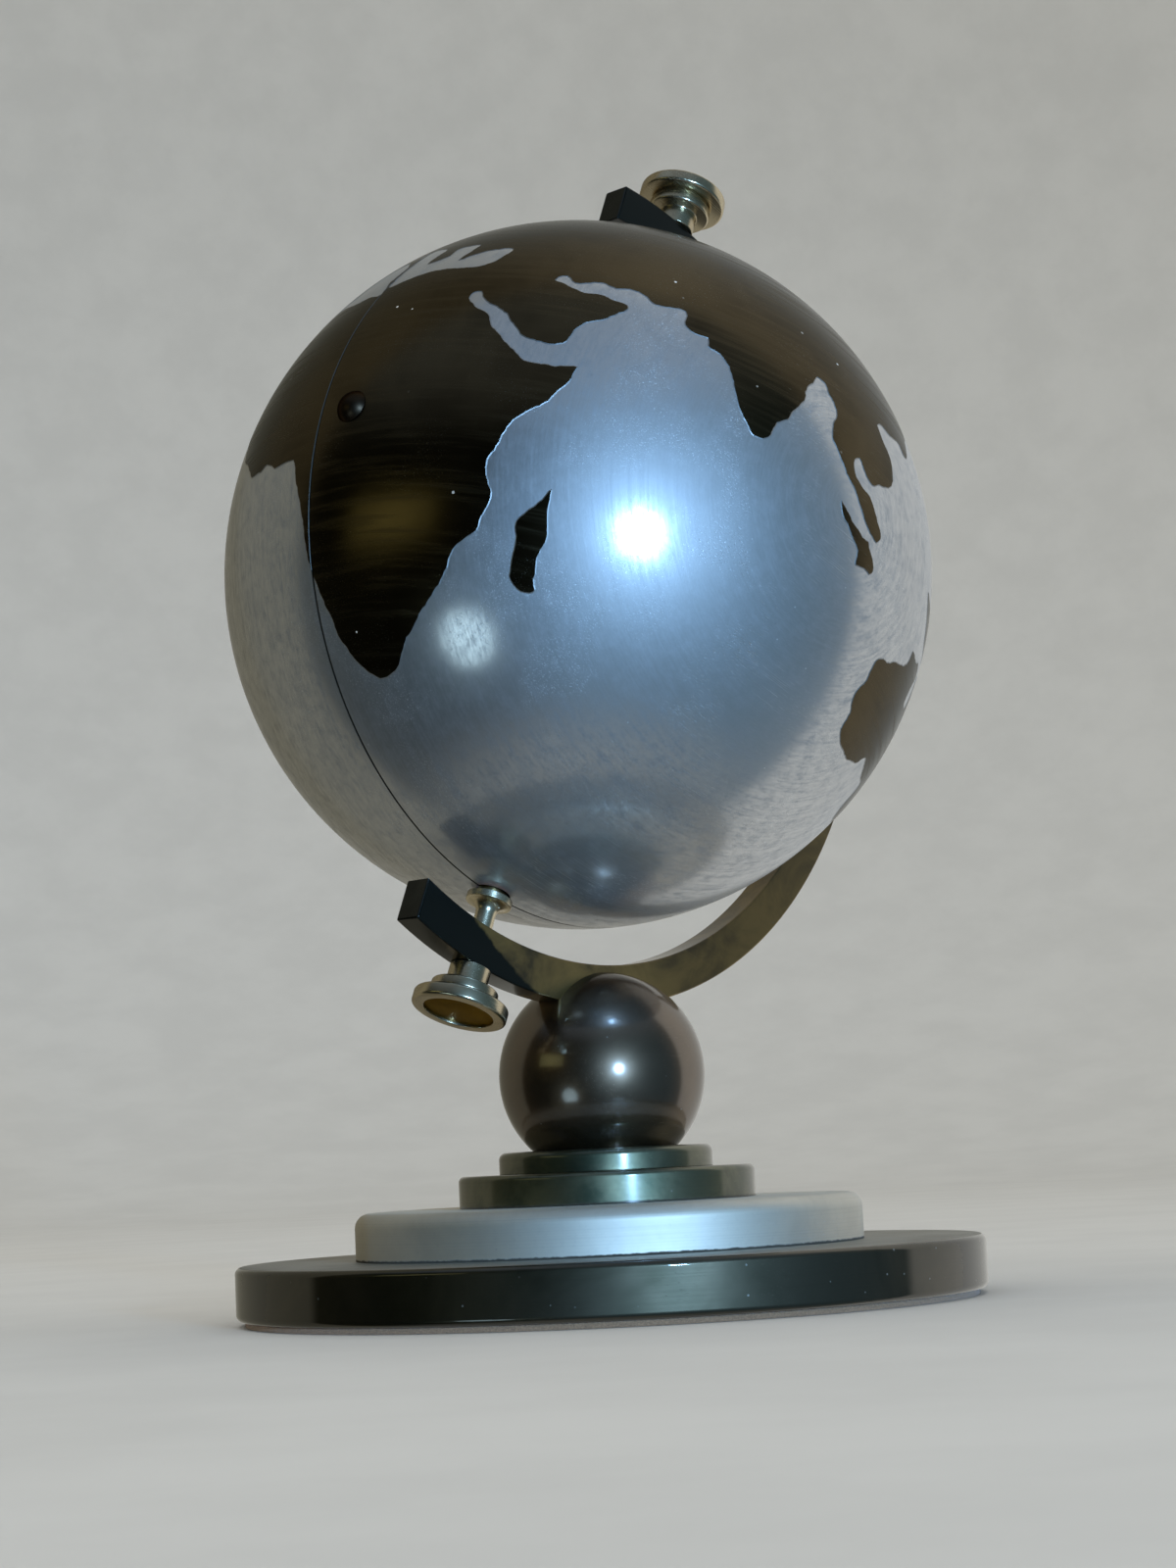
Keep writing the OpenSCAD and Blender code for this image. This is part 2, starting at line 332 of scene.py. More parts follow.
def sea_satin():
    """Silver etched and then turned: rings about the half's own axis, dust and fine marks."""
    f, tones, at = blank("sea satin silver")
    x, y, z = f.split(at)
    ring = off_axis(x, y, z) * GLOBE_R
    rings = f.noise(f.join(ring * 2.4, x * 0.06, z * 0.06), 1, 4, 0.6)
    ring_tops = rings.above(0.35, 0.75)
    broad = f.noise(f.join(ring * 0.7, x * 0.03, z * 0.03), 1, 2, 0.5)
    dashes = f.noise(f.join(ring * 2.6, x * 0.7, z * 0.7), 1, 4, 0.7).above(0.42, 0.62)
    cloud = f.noise(at, 0.045, 4, 0.55)
    mottle = f.noise(at, 0.45, 5, 0.65)
    marks = (f.scratches(at, (0.4, 0.9, 0.3), 7) + f.scratches(at, (1.3, 0.2, 1.0), 8, 0.63)
             + f.scratches(at, (-0.5, 0.6, 2.1), 6, 0.64))
    flecks = f.specks(at, 0.62, 0.085, 0.22)
    grit = f.specks(at, 0.42, 0.10, 0.12)
    pits = f.specks(at, 0.085, 0.030, 0.35)
    base = f.over(
        f.mix(cloud.above(0.3, 0.7), shade(tones.sea, 0.90), shade(tones.sea, 1.06)),
        (mottle.above(0.42, 0.68) * 0.5, shade(tones.sea, 0.80)),
        (ring_tops * 0.55, shade(tones.sea, 0.76)), (dashes * 0.45, shade(tones.sea, 0.74)),
        (marks * 0.6, shade(tones.sea, 1.3)), (flecks * 0.8, (1.0, 1.0, 1.0)),
        (grit * 0.45, (0.30, 0.29, 0.27)), (pits * 0.85, (0.10, 0.10, 0.095)))
    clear = (1 - marks * 0.45 - ring_tops * 0.32 - dashes * 0.30
             - mottle.above(0.42, 0.66) * 0.30 - flecks * 0.5 - grit * 0.4)
    height = rings * 0.6 + broad * 0.7 - marks * 0.7 - pits * 2 + f.noise(at, 3.2, 3) * 0.35
    return f.metal(Base_Color=base, Roughness=0.48 + rings * 0.12 - marks * 0.12 + mottle * 0.06,
                   Coat_Weight=clear, Coat_IOR=4.7, Coat_Roughness=0.17,
                   Normal=f.bump(height, 0.015))


def land_polish():
    """Dark bronze polish: cloudy tarnish, faint streaks round the globe and bright dust."""
    f, tones, at = blank("land dark bronze polish")
    x, y, z = f.split(at)
    cloud = f.noise(at, 0.05, 4, 0.6, 0.4)
    streak = f.noise(f.join(x * 0.06, y * 0.06, z * 1.1), 1, 3, 0.6)
    marks = f.scratches(at, (0.2, 0.5, 0.8), 8)
    dust = f.specks(at, 0.34, 0.085, 0.30)
    base = f.over(
        f.mix(cloud.above(0.35, 0.7), shade(tones.land, 0.75), shade(tones.land, 1.2)),
        (streak.above(0.42, 0.66) * 0.4, shade(tones.land, 1.4)),
        (marks * 0.35, (0.42, 0.40, 0.36)), (dust * 0.8, (0.72, 0.71, 0.66)))
    rough = 0.16 + cloud * 0.10 + streak.above(0.45, 0.7) * 0.10 + marks * 0.2 + dust * 0.5
    height = f.noise(at, 1.9, 3, 0.6) * 0.3 + streak * 0.2 - marks * 0.5 + dust * 1.5
    return f.metal(Base_Color=base, Roughness=rough, Metallic=1 - dust,
                   Specular_Tint=(0.62, 0.65, 0.68), Normal=f.bump(height, 0.004))


def coast_bright():
    """Bare metal on the slope that the etch has cut between land and sea."""
    f, tones, at = blank("coast bright edge")
    worn = f.noise(at, 0.8, 3, 0.6)
    base = f.mix(worn.above(0.35, 0.7), shade(tones.edge, 0.86), tones.edge)
    return f.metal(Base_Color=base, Roughness=0.42 + worn * 0.2)


def inner_skin():
    """Inside of the shells: dull silver with spinning marks and faint brown spots."""
    f, tones, at = blank("inner skin dull silver")
    x, y, z = f.split(at)
    rings = f.noise(f.join(off_axis(x, y, z) * 160, x * 0.03, z * 0.03), 1, 4, 0.6)
    spots = f.noise(at, 0.08, 4, 0.6)
    base = f.over(shade(tones.sea, 0.82), (spots.above(0.4, 0.72) * 0.6, (0.42, 0.36, 0.27)),
                  (rings.above(0.4, 0.8) * 0.4, shade(tones.sea, 0.55)))
    return f.metal(Base_Color=base, Roughness=0.38 + rings * 0.2, Normal=f.bump(rings, 0.01))


def polished(name, tone, rough=0.12, cloudiness=0.5, tint=None, per_mm=0.06, lathe=0.0,
             dusty=0.3, foot=None, turned=False, glare=0.7, bump=0.004, haze=0.0, gloss=1.5,
             ends=None, scuffs=1.0):
    """Polished metal with a cloudy tarnish, fine marks, dust, and lathe rings when wanted.

    tint is the tarnish, in clouds of per_mm to the millimetre. lathe is how close the lathe
    rings lie. foot is a height in millimetres, with dirt gathered in the two tenths above it.
    glare is how bright the metal turns when seen along its surface. haze is the roughness of
    a worn metal below a thin clear skin, and gloss is how strongly that skin mirrors. ends is
    the colour of a bent bar's two ends, which runs further along its outer side. scuffs is
    how strongly the fine marks show.
    """
    f, _, at = blank(name, turned)
    x, y, z = f.split(at)
    cloud = f.noise(at, per_mm, 4, 0.6, 0.5)
    fine = f.noise(at, 1.6, 4, 0.6)
    marks = f.scratches(at, (0.3, 0.2, 0.6), 6)
    cross = f.scratches(at, (1.2, 0.1, -0.7), 9, 0.68)
    dust = f.specks(at, 0.55, 0.09, 0.3) * dusty * 2
    base = f.over(
        f.mix(cloud.above(0.35, 0.7) * cloudiness, shade(tone, 1.12), tint or shade(tone, 0.7)),
        (fine.above(0.5, 0.8) * 0.2, shade(tone, 0.8)),
        ((marks + cross) * (0.35 * scuffs), shade(tone, 1.7)), (dust, (0.55, 0.53, 0.48)))
    height = fine * 0.3 - (marks * 0.6 + cross * 0.5) * scuffs + dust
    spread = (haze or rough) + cloud * 0.08 + (marks + cross) * 0.14 + dust * 0.4
    if lathe:
        rings = f.noise(f.join(distance(x, y) * lathe, z * lathe, x * 0.02), 1, 3, 0.6)
        base = f.mix(rings.above(0.45, 0.8) * 0.25, base, shade(tone, 0.75))
        height = height + rings * 0.8
        spread = spread + rings * 0.08
    if ends:
        past = x + 4 - (distance(x, z) - ARM_IN) * 2.6 + f.noise(at, 0.5, 3) * 3
        base = f.mix(x.above(18, 46) * 0.6, base, shade(tone, 0.35))
        base = f.mix(past.above(0.8, 2.4), ends, base)
    if foot is not None:
        grime = (z - foot - f.noise(at, 0.9, 3, 0.6) * 0.35).below(0.0, 0.22)
        base = f.mix(grime * 0.85, base, (0.10, 0.085, 0.065))
        spread = spread + grime * 0.3
    return f.metal(Base_Color=base, Roughness=spread, Specular_Tint=(glare, glare, glare),
                   Coat_Weight=1.0 if haze else 0.0, Coat_IOR=gloss, Coat_Roughness=rough,
                   Normal=f.bump(height, bump))


def brown_felt():
    """Short pressed felt."""
    f, tones, at = blank("brown felt", False)
    fibre = f.noise(at, 4.5, 5, 0.7, 0.8)
    nap = f.noise(at, 0.5, 3, 0.6)
    base = f.mix(fibre.above(0.3, 0.7), shade(tones.felt, 0.6), shade(tones.felt, 1.25))
    base = f.mix(nap.above(0.4, 0.7) * 0.3, base, shade(tones.felt, 0.8))
    return f.metal(Base_Color=base, Metallic=0.0, Roughness=0.95, Sheen_Weight=0.35,
                   Normal=f.bump(fibre, 0.12))


def cast_iron():
    """Rough cast plate with rust along its grain."""
    f, _, at = blank("ballast iron", False)
    cast = f.noise(at, 1.2, 5, 0.7)
    rust = f.noise(at, 0.12, 4, 0.6).above(0.5, 0.66)
    base = f.mix(rust, (0.12, 0.115, 0.11), (0.22, 0.10, 0.045))
    return f.metal(Base_Color=base, Metallic=1 - rust * 0.8, Roughness=0.55 + cast * 0.3,
                   Normal=f.bump(cast, 0.08))


def red_fibre():
    """Vulcanised fibre washer."""
    f, _, at = blank("fibre washer", False)
    grain = f.noise(at, 6, 4, 0.7)
    base = f.mix(grain, (0.26, 0.075, 0.04), (0.42, 0.16, 0.09))
    return f.metal(Base_Color=base, Metallic=0.0, Roughness=0.6 + grain * 0.2,
                   Normal=f.bump(grain, 0.02))


def pale_floor():
    """Plain pale floor with the faintest unevenness."""
    f, _, at = blank("pale floor", False)
    tone = bpy.context.scene.globe_stage.floor
    cloud = f.noise(at, 0.02, 4, 0.6)
    base = f.mix(cloud.above(0.3, 0.7), shade(tone, 0.97), shade(tone, 1.03))
    return f.metal(Base_Color=base, Metallic=0.0, Roughness=0.85 + cloud * 0.1)


# ---------------------------------------------------------------- making pieces

def only(kind, geom):
    """The vertices, edges or faces of a mixed list."""
    return [g for g in geom if isinstance(g, kind)]


def smooth(made, sharp=32):
    """Shades a piece smoothly, with sharp edges above an angle in degrees."""
    made.data.shade_smooth()
    made.data.set_sharp_from_angle(angle=math.radians(sharp))
    made.modifiers.new("even shading", "WEIGHTED_NORMAL").keep_sharp = True


def piece(name, bm, body, materials, stands_for, place=UPRIGHT, sharp=32):
    """Closes a bmesh into an object at the origin that rides on a body."""
    bm.transform(place)
    if place.determinant() < 0:
        bmesh.ops.reverse_faces(bm, faces=bm.faces)
    mesh = bpy.data.meshes.new(name)
    bm.to_mesh(mesh)
    bm.free()
    for material in materials:
        mesh.materials.append(material)
    made = bpy.data.objects.new(name, mesh)
    bpy.context.scene.collection.objects.link(made)
    if sharp:
        smooth(made, sharp)
    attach(made, body)
    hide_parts(stands_for)
    return made


def spun(points, pairs, axis, steps):
    """A full turn of a line of points about an axis through the origin."""
    bm = bmesh.new()
    verts = [bm.verts.new(point) for point in points]
    lines = [bm.edges.new((verts[a], verts[b])) for a, b in pairs]
    bmesh.ops.spin(bm, geom=verts + lines, axis=axis, cent=(0, 0, 0), angle=2 * math.pi,
                   steps=steps, use_merge=True)
    bmesh.ops.remove_doubles(bm, verts=bm.verts, dist=1e-5)
    return bm


def rounded(bm, edges, width, segments):
    """Rounds edges to a width."""
    bmesh.ops.bevel(bm, geom=edges, affect="EDGES", offset=width, segments=segments,
                    profile=0.5, material=-1)


def cut_off(bm, spot, away):
    """Removes what lies past a plane, and returns the edges of the cut."""
    cut = bmesh.ops.bisect_plane(bm, geom=bm.verts[:] + bm.edges[:] + bm.faces[:],
                                 plane_co=spot, plane_no=away, clear_outer=True)
    return only(BMEdge, cut["geom_cut"])


def turn(profile, closed=True):
    """A full turn of (radius, height, edge) points. An edge above 0 rounds that corner."""
    count = len(profile)
    bm = spun([(r, 0, z) for r, z, _ in profile],
              [(i, (i + 1) % count) for i in range(count if closed else count - 1)],
              (0, 0, 1), bpy.context.scene.globe_sizes.turns)
    bmesh.ops.recalc_face_normals(bm, faces=bm.faces)
    for r, z, edge in profile:
        if edge:
            ring = [e for e in bm.edges
                    if all(abs(v.co.z - z) < 1e-3 and abs(v.co.xy.length - r) < 1e-3
                           for v in e.verts)]
            rounded(bm, ring, edge, 8)
    return bm


def at_both_ends(*parts):
    """Turned pieces at each end of the polar axis: (part, profile, closed, slot, finish)."""
    for end, place in (("lower", SOUTH), ("upper", POLAR)):
        for part, profile, closed, slot, finish in parts:
            piece(f"{end}_{part}_piece", turn(profile, closed), "stand", [finish],
                  f"{end}_{part}", place)


def dress(node, body, material):
    """A merged copy of a CAD node's mesh with its edges broken."""
    bm = bmesh.new()
    bm.from_mesh(frame["nodes"][node].data)
    bmesh.ops.remove_doubles(bm, verts=bm.verts, dist=1e-7)
    bmesh.ops.dissolve_limit(bm, angle_limit=math.radians(0.5), verts=bm.verts, edges=bm.edges)
    made = piece(node + "_piece", bm, body, [material], node, Matrix.Identity(4), 0)
    broken = made.modifiers.new("broken edges", "BEVEL")
    broken.width = bpy.context.scene.globe_sizes.small_edge
    broken.segments = 2
    broken.limit_method = "ANGLE"
    broken.angle_limit = math.radians(40)
    smooth(made)


def round_normals(mesh, centre, outward, inward=()):
    """True sphere normals on the faces of some material slots, so that mirrors run smoothly."""
    def read(items, key, kind, width=1):
        values = np.empty(len(items) * width, kind)
        items.foreach_get(key, values)
        return values

    spots = read(mesh.vertices, "co", float, 3)
    ends = read(mesh.loops, "vertex_index", int)
    sizes = read(mesh.polygons, "loop_total", int)
    slots = read(mesh.polygons, "material_index", int)
    rays = spots.reshape(-1, 3)[ends] - np.array(centre)
    rays /= np.linalg.norm(rays, axis=1)[:, None]
    kind = np.repeat(slots, sizes)
    sign = np.isin(kind, outward).astype(float) - np.isin(kind, inward)
    mesh.normals_split_custom_set((rays * sign[:, None]).tolist())


# ---------------------------------------------------------------- the map

# Each coast is a latitude, a longitude, a latitude and so on, in degrees. The lie of the land
# is simplified, as on a small engraved globe.
LANDS = {
    "old world": (
     12, 52, 6, 49, 2, 44, -2, 42, -4, 41, -6.5, 41, -9, 42, -12, 41, -14.5, 40, -17, 37, -20,
     35.5, -24.5, 32.5, -28, 29.5, -31, 27, -34, 25.5, -35.5, 23, -36, 20.5, -35, 18.5, -32, 15,
     -29, 13.5, -25, 12, -20, 10, -15, 8.5, -11, 8, -7, 7, -3, 5.5, -0.5, 4.5, 0, 2, 0, -1, 1, -4,
     0.5, -6.5, 1, -9.5, 3.5, -12.5, 5.5, -16, 9, -19, 14, -22, 20, -21, 27, -17, 32, -13, 35,
     -10, 37, -13, 43, -14, 43, -6, 47, -8, 50, -4, 53, 2, 57, 5, 59, 2, 63, 4, 68, 13, 71, 26,
     67, 40, 65, 38, 68, 50, 70, 62, 73, 70, 73, 84, 77, 105, 73, 118, 71, 140, 70, 165, 66, 188,
     62, 178, 60, 165, 51, 157, 60, 160, 59, 148, 54, 137, 46, 138, 43, 132, 38, 129, 35, 129, 38,
     124, 40, 119, 36, 123, 31, 125, 27, 126, 24.5, 125, 21, 122, 18, 120, 17.5, 118.5, 19, 117,
     19, 113, 19.5, 110.5, 19, 108.5, 17.5, 109, 14, 111, 12, 111.5, 9.5, 111, 8, 109, 7.5, 106.5,
     6.5, 104.5, 7.5, 103, 8.5, 102, 10, 101, 9.5, 100, 8, 100, 6.5, 100.5, 4, 104.5, 2, 106, 0,
     107.5, -1, 107.5, -2, 106.5, -1.5, 105, 0, 103, 2, 101.5, 4, 100, 6, 98, 7.5, 97, 9, 96, 11,
     95, 12.5, 95, 14, 95.5, 16, 96.5, 18, 96, 19.5, 95, 21, 95, 21.5, 94, 19.5, 91.5, 17.5, 90,
     15.5, 89.5, 13, 87.5, 11, 86, 9.5, 84, 7, 83, 6, 81.5, 6, 80, 8, 78.5, 10, 77.5, 12.5, 76.5,
     15.5, 76, 17, 75.5, 19, 74, 20, 72, 21.5, 72, 22, 70, 24, 68, 25.5, 68.5, 26.5, 68.5, 26.5,
     66, 26.5, 63.5, 28, 61.5, 29, 59.5, 29, 56.5, 30, 54, 29.5, 52, 29.5, 49.5, 31, 47, 30, 46,
     29, 48, 27.5, 50.5, 27, 54, 26.5, 56, 25, 59, 23.5, 58, 21.5, 55, 20.5, 52.5, 17.5, 50.5, 16,
     49.5, 16, 46, 17, 43, 20, 40.5, 22.5, 38.5, 25, 34.5, 27, 33, 26.5, 32, 23.5, 33.5, 22, 36,
     19.5, 37.5, 16, 40.5, 13.5, 43, 12, 46, 12, 49),
    "big east island": (
     -18.5, 114.5, -17, 117, -17, 118.5, -16, 121, -15.5, 123.5, -15, 125, -14, 127, -11.5, 128.5,
     -12, 132.5, -11, 136, -12.5, 138.5, -15.5, 136.5, -17.5, 136, -18, 138, -14, 141, -11, 142,
     -15, 145, -20, 148, -25, 153, -33, 152, -38, 149, -37, 143, -32, 141, -32, 137.5, -31, 134.5,
     -30, 131.5, -32, 128, -32.5, 125, -32.5, 121.5, -32, 119, -31.5, 117, -30, 115, -27, 114.5,
     -25.5, 113.5, -23.5, 113.5, -21.5, 114.5, -19.5, 114.5),
    "long west island": (
     -8, 51, -11, 50.5, -14, 51, -17.5, 50, -20.5, 49.5, -23, 49.5, -23.5, 48, -21, 45.5, -19,
     45.5, -16.5, 46, -13.5, 46, -10.5, 48.5),
    "slim east island": (
     1.5, 97, 0.5, 98.5, -1, 100.5, -2.5, 103.5, -2.5, 104.5, -3.5, 105, -5, 106.5, -6.5, 107,
     -7.5, 106, -7, 104.5, -7, 102, -5, 102, -3.5, 100.5, -2.5, 99.5, -0.5, 97.5),
    "arc island": (31, 130, 34, 131, 36, 136, 41, 140, 44, 144, 40, 142, 35, 140, 33, 135),
    "north bird island": (-1, 131, -3, 140, -7, 147, -10, 150, -8, 143, -8, 138, -4, 133),
    "south twin island": (-35, 173, -38, 178, -42, 174, -46, 170, -46, 167, -41, 172, -38, 174),
    "north west islands": (50, -12, 51, -6, 53, -6, 58, -9, 57, -13, 54, -12),
    "new world": (
     66, -168, 71, -156, 70, -140, 69, -125, 68, -110, 69, -95, 65, -87, 59, -94, 55, -84, 51,
     -80, 58, -78, 62, -76, 59, -66, 54, -58, 50, -60, 46, -62, 43, -69, 40, -74, 35, -76, 31,
     -81, 26, -80, 29, -84, 30, -90, 28, -96, 22, -98, 19, -95, 20, -88, 16, -88, 14, -83, 9, -81,
     9, -76, 12, -71, 10, -62, 6, -55, 1, -50, -3, -41, -7, -35, -13, -39, -22, -41, -28, -49,
     -35, -55, -39, -60, -45, -66, -52, -68, -55, -68, -50, -75, -42, -74, -32, -72, -20, -70,
     -15, -75, -6, -81, 1, -79, 7, -78, 8, -82, 13, -88, 16, -96, 20, -105, 25, -109, 31, -114,
     24, -110, 29, -115, 34, -120, 40, -124, 48, -125, 55, -131, 59, -138, 60, -147, 57, -157, 55,
     -163, 60, -162, 63, -165),
    "great north island": (
     60, -44, 65, -40, 70, -23, 77, -19, 82, -25, 83, -40, 79, -66, 76, -70, 70, -54, 64, -52),
    "gulf islands": (22, -84, 23, -80, 20, -75, 18, -69, 19, -75, 21, -79),
}
WATERS = {
    "inland sea west": (
     32, 0, 32, 6, 31.5, 9, 35, 8, 40, 8, 43, 5, 42, -1, 37, -5, 35, -9, 33, -9, 33, -4),
    "inland sea east": (
     33.5, 10, 35, 18, 35, 22, 34.5, 26, 35, 31.5, 37, 33.5, 39.5, 34.5, 39.5, 29, 37.5, 24, 43,
     25, 43, 20.5, 40, 20, 38.5, 15.5, 44, 15.5, 46, 9, 40, 10),
    "northern gulf": (55, 10, 55, 18, 59, 24, 65, 24, 62, 18, 58, 16),
}
SHELL_MAPS = {
    "front_shell": ("old world", "big east island", "long west island", "slim east island",
                    "arc island", "north bird island", "south twin island",
                    "inland sea west", "inland sea east"),
    "rear_shell": ("old world", "new world", "great north island", "gulf islands",
                   "north west islands", "arc island", "inland sea west", "inland sea east",
                   "northern gulf"),
}
# The map's own pole stands a little off the pins: a turn, a lean and a second turn.
MAP = np.array(Matrix.Rotation(math.radians(-178), 3, "Z")
               @ Matrix.Rotation(math.radians(10.5), 3, "Y")
               @ Matrix.Rotation(math.radians(-11.5), 3, "Z"))
# Spacing of the points along a coast, in millimetres
COAST_STEP = 0.55
# Raggedness of the coasts as (waves in a millimetre, millimetres). Without a seed of its own,
# the noise would start from the clock.
RAGGED = ((0.5, 0.30), (2.1, 0.14))
COAST_SEED = 5
# Rows of an even triangular grid, and how far its points stay off the seam and the coasts
ROW, OFF_SEAM, OFF_COAST = math.sqrt(0.75), 0.6, 0.42
# Material slots of a half
SEA, LAND, SLOPE, INSIDE, WALL = range(5)


def coast_line(degrees):
    """A smooth closed coast through points on the globe, in millimetres."""
    lat, lon = np.radians(np.reshape(degrees, (-1, 2))).T
    knots = np.stack([np.cos(lat) * np.cos(lon), np.cos(lat) * np.sin(lon), np.sin(lat)], 1)
    knots = GLOBE_R * knots @ MAP.T
    after = np.roll(knots, -1, 0)
    span = np.linalg.norm(after - knots, axis=1)
    before = np.roll(span, 1)
    speed = ((after - knots) / span[:, None] * before[:, None]
             + (knots - np.roll(knots, 1, 0)) / before[:, None] * span[:, None])
    speed /= (span + before)[:, None]
    line = []
    for i in range(len(knots)):
        j = (i + 1) % len(knots)
        t = np.arange(0, 1, 1 / max(2, round(span[i] / COAST_STEP)))[:, None]
        line.append((2 * t**3 - 3 * t**2 + 1) * knots[i] + (t**3 - 2 * t**2 + t)
                    * speed[i] * span[i] + (3 * t**2 - 2 * t**3) * knots[j]
                    + (t**3 - t**2) * speed[j] * span[i])
    line = np.concatenate(line)
    noise.seed_set(COAST_SEED)
    line = np.array([tuple(sum((noise.noise_vector(p * waves) * size for waves, size in RAGGED),
                               p)) for p in map(Vector, line)])
    return GLOBE_R * line / np.linalg.norm(line, axis=1)[:, None]


def flatten(points, side):
    """Lays a half out flat about its own pole, with true distances from that pole."""
    across = np.stack([-side * points[:, 0], points[:, 2]], 1)
    reach = np.linalg.norm(across, axis=1)
    angle = np.arctan2(reach, side * points[:, 1])
    return across * (GLOBE_R * angle / np.maximum(reach, 1e-9))[:, None]


def unflatten(flat, side):
    """The points of the globe for a flat layout."""
    reach = np.linalg.norm(flat, axis=1)
    angle = reach / GLOBE_R
    unit = flat / np.maximum(reach, 1e-9)[:, None]
    return GLOBE_R * np.stack([-side * unit[:, 0] * np.sin(angle), side * np.cos(angle),
                               unit[:, 1] * np.sin(angle)], 1)


def seam_outline(side, notch, inset):
    """Edge of a half shell: the seam on both sides and a round notch at each pole."""
    y = SEAM_GAP / 2 + inset
    notch += inset
    ring = math.sqrt(GLOBE_R**2 - y**2)
    top = math.acos(math.sqrt(notch**2 - y**2) / ring)
    arm_side = np.linspace(top, -top, 340)
    arc = np.linspace(math.asin(y / notch), math.pi - math.asin(y / notch), 20)[1:-1]
    rise = math.sqrt(GLOBE_R**2 - notch**2)
    near = np.stack([ring * np.cos(arm_side), side * y + 0 * arm_side,
                     ring * np.sin(arm_side)], 1)
    south = np.stack([notch * np.cos(arc), side * notch * np.sin(arc), 0 * arc - rise], 1)
    far = near[::-1] * (-1, 1, 1)
    north = south[::-1] * (1, 1, -1)
    return np.concatenate([near, south, far, north])


def counted_left(flat):
    """True when a flat outline runs counter-clockwise."""
    x, y = flat.T
    return float(np.sum(x * np.roll(y, -1) - np.roll(x, -1) * y)) > 0


def inside(points, outline):
    """Which flat points lie within a closed flat outline."""
    x, y = points.T
    within = np.zeros(len(points), bool)
    for (ax, ay), (bx, by) in zip(outline, np.roll(outline, -1, 0)):
        if ay != by:
            within ^= ((ay > y) != (by > y)) & (x < ax + (bx - ax) * (y - ay) / (by - ay))
    return within


def half_skin(node, side, sizes):
    """Outer skin of a half as a bmesh, with its coasts cut in."""
    inset, coast, relief = (millimetres(v) for v in (sizes.seam_edge, sizes.coast, sizes.relief))
    outlines, roles = [], []

    def outline(points, role):
        outlines.append(flatten(points, side))
        roles.append(role)

    outline(seam_outline(side, NOTCH[node], inset), "half")
    for name in SHELL_MAPS[node]:
        water = name in WATERS
        line = coast_line((WATERS if water else LANDS)[name])
        if not counted_left(flatten(line, side)):
            line = line[::-1]
        along = np.roll(line, -1, 0) - np.roll(line, 1, 0)
        inward = np.cross(line, along)
        inward /= np.linalg.norm(inward, axis=1)[:, None]
        outline(line, "water" if water else "land")
        outline(line + inward * (-coast if water else coast), "bank" if water else "plateau")

    drawn = np.concatenate(outlines)
    tree = KDTree(len(drawn))
    for i, (u, w) in enumerate(drawn):
        tree.insert((u, w, 0), i)
    tree.balance()
    step = millimetres(sizes.grid)
    reach = GLOBE_R * math.pi / 2
    rows = int(reach / (step * ROW)) + 1
    grid = []
    for j in range(-rows, rows + 1):
        for i in range(-rows, rows + 1):
            u, w = (i + 0.5 * (j % 2)) * step, j * step * ROW
            if (math.hypot(u, w) < reach - OFF_SEAM
                    and tree.find((u, w, 0))[2] > OFF_COAST * step):
                grid.append((u, w))

    lines, start = [], 0
    for flat in outlines:
        count = len(flat)
        lines += [(start + i, start + (i + 1) % count) for i in range(count)]
        start += count
    flat_in = [Vector(p) for p in np.concatenate([drawn, np.array(grid)])]
    flat_out, _, cells, _, _, _ = delaunay_2d_cdt(flat_in, lines, [], 0, 1e-5, False)

    spread = np.array([tuple(p) for p in flat_out])
    middles = np.array([spread[list(cell)].mean(0) for cell in cells])
    held = {role: np.zeros(len(cells), bool)
            for role in ("half", "land", "water", "plateau", "bank")}
    for flat, role in zip(outlines, roles):
        held[role] |= inside(middles, flat)
    dry = held["land"] & ~held["water"]
    flat_top = dry & held["plateau"] & ~held["bank"]
    kinds = [(LAND if top else SLOPE if ground else SEA) if kept else None
             for kept, ground, top in zip(held["half"], dry, flat_top)]
    spots = unflatten(spread, side)
    sunk = {v for cell, kind in zip(cells, kinds) if kind == SEA for v in cell}
    used = sorted({v for cell, kind in zip(cells, kinds) if kind is not None for v in cell})
    bm = bmesh.new()
    verts = {v: bm.verts.new(spots[v] * (1 - relief / GLOBE_R if v in sunk else 1))
             for v in used}
    for cell, kind in zip(cells, kinds):
        if kind is not None:
            bm.faces.new([verts[v] for v in cell]).material_index = kind
    bm.normal_update()
    return bm


def seam_place(spot, side, notch, inset, radius):
    """Where a point on the skin's edge goes as the wall is drawn in to a smaller radius."""
    span = math.hypot(spot.x, spot.y)
    if span < notch + inset + 0.02:
        return Vector((spot.x * notch / span, spot.y * notch / span,
                       math.copysign(math.sqrt(radius**2 - notch**2), spot.z)))
    flat = Vector((spot.x, 0, spot.z)).normalized()
    y = side * SEAM_GAP / 2
    return flat * math.sqrt(radius**2 - y**2) + Vector((0, y, 0))


